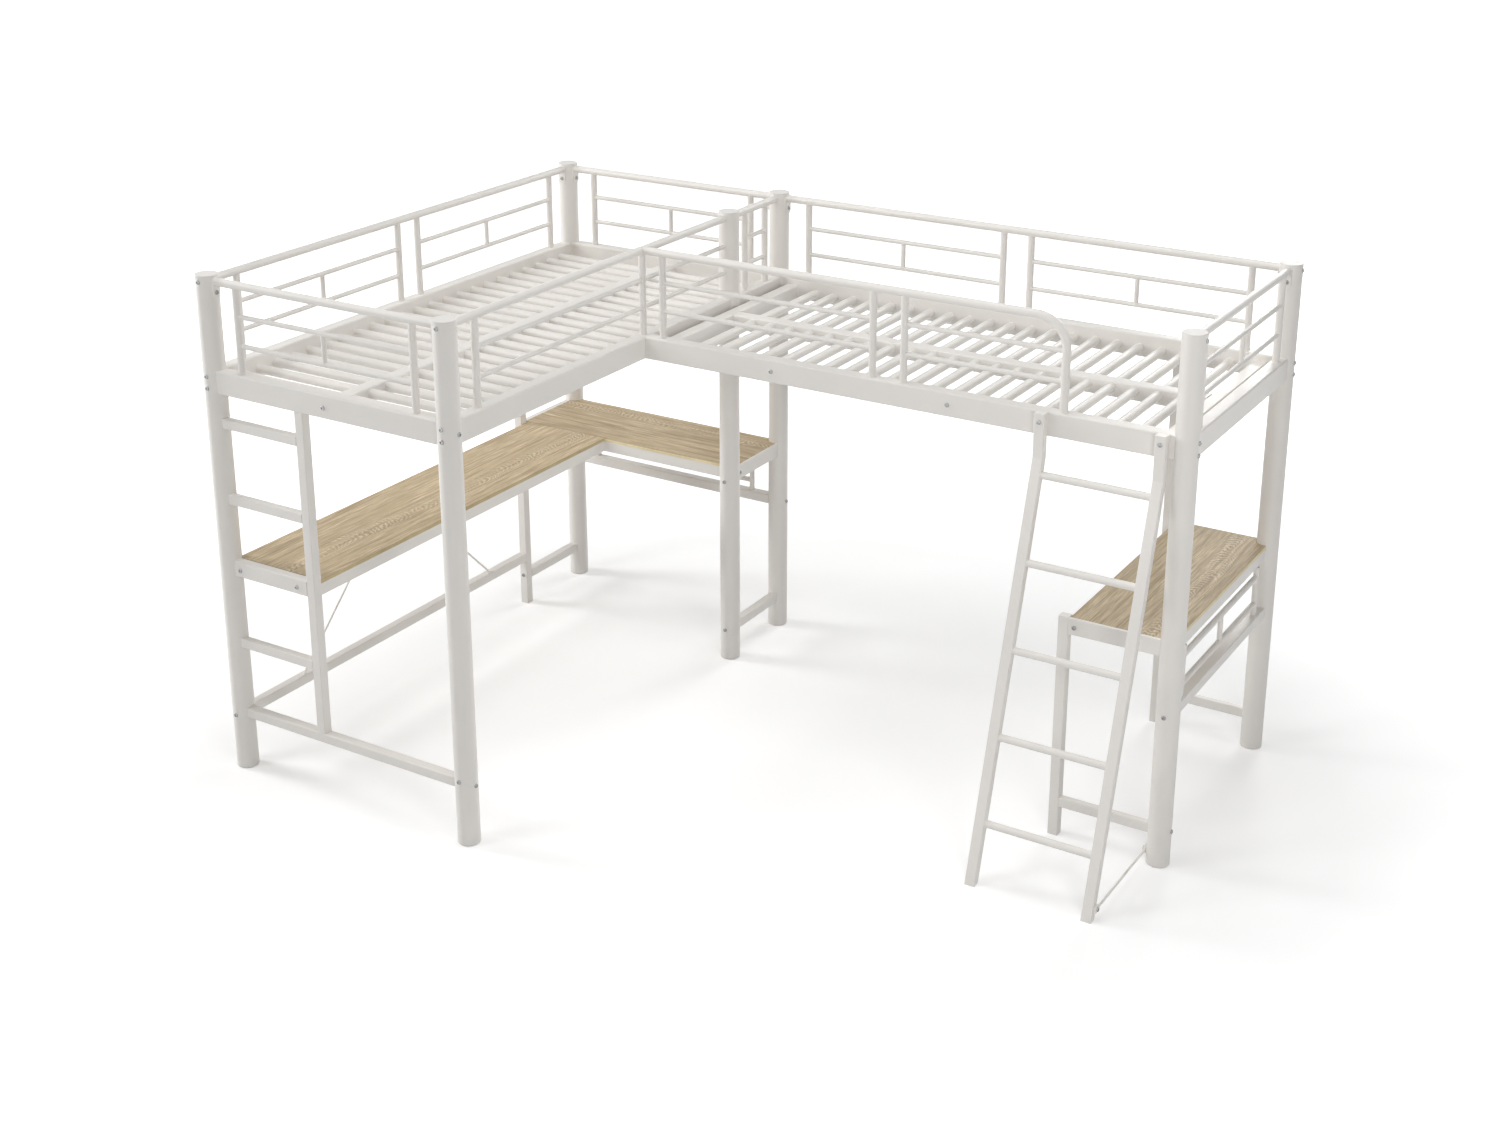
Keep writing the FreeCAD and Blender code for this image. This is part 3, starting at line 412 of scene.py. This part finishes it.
def buildFloor(values):
    half = values["size"] / 2
    mesh = bpy.data.meshes.new("floor")
    mesh.from_pydata([(-half, -half, 0), (half, -half, 0), (half, half, 0), (-half, half, 0)], [], [(0, 1, 2, 3)])
    floor = bpy.data.objects.new("floor", mesh)
    scene.collection.objects.link(floor)
    material, tree, shader = newMaterial("paleFloor", Base_Color=values["color"], Roughness=values["roughness"],
                                         Specular_IOR_Level=values["gloss"], Emission_Color=(1, 1, 1, 1))
    away = addNode(tree, "ShaderNodeVectorMath", operation="LENGTH")
    tree.links.new(addNode(tree, "ShaderNodeTexCoord").outputs["Object"], away.inputs[0])
    lift = spreadValue(tree, away.outputs["Value"], values["near"], values["far"],
                       values["nearLift"], values["farLift"])
    tree.links.new(mathNode(tree, "MULTIPLY", seenDirectly(tree), lift), shader["Emission Strength"])
    mesh.materials.append(material)


buildFloor(floorLook)


# soft studio light
studio = {
    "sky": 0.127,
    "backdrop": 1.0,
    "lamps": {
        "leftLamp": {"place": (-9.0, -2.0, 4.0), "size": 3.0, "power": 440},
        "frontLeftLamp": {"place": (-4.2, -5.6, 4.8), "size": 3.0, "power": 130},
        "frontRightLamp": {"place": (3.4, -2.9, 2.4), "size": 1.6, "power": 46},
        "rightLamp": {"place": (6.8, -0.3, 3.0), "size": 3.0, "power": 46},
        "backLamp": {"place": (0.5, 6.8, 3.4), "size": 3.0, "power": 145},
        "topLamp": {"place": (0.0, 0.0, 6.8), "size": 4.0, "power": 142},
    },
    "aim": (0.0, 0.0, 0.8),
}


def addLamp(name, values, aim):
    data = bpy.data.lights.new(name, "AREA")
    data.shape = "DISK"
    data.size = values["size"]
    data.energy = values["power"]
    lamp = bpy.data.objects.new(name, data)
    lamp.location = values["place"]
    lamp.visible_camera = False
    lamp.rotation_euler = (Vector(aim) - lamp.location).to_track_quat("-Z", "Y").to_euler()
    scene.collection.objects.link(lamp)


def buildSky(sky, backdrop):
    world = bpy.data.worlds.new("studio")
    world.use_nodes = True
    tree = world.node_tree
    tree.nodes.clear()
    light = addNode(tree, "ShaderNodeBackground", Color=(1, 1, 1, 1), Strength=sky)
    white = addNode(tree, "ShaderNodeBackground", Color=(1, 1, 1, 1), Strength=backdrop)
    mix = addNode(tree, "ShaderNodeMixShader")
    tree.links.new(seenDirectly(tree), mix.inputs[0])
    tree.links.new(light.outputs[0], mix.inputs[1])
    tree.links.new(white.outputs[0], mix.inputs[2])
    tree.links.new(mix.outputs[0], addNode(tree, "ShaderNodeOutputWorld").inputs["Surface"])
    scene.world = world


buildSky(studio["sky"], studio["backdrop"])
for name, values in studio["lamps"].items():
    addLamp(name, values, studio["aim"])
scene.view_settings.view_transform = "Standard"
print("floor and light ready")
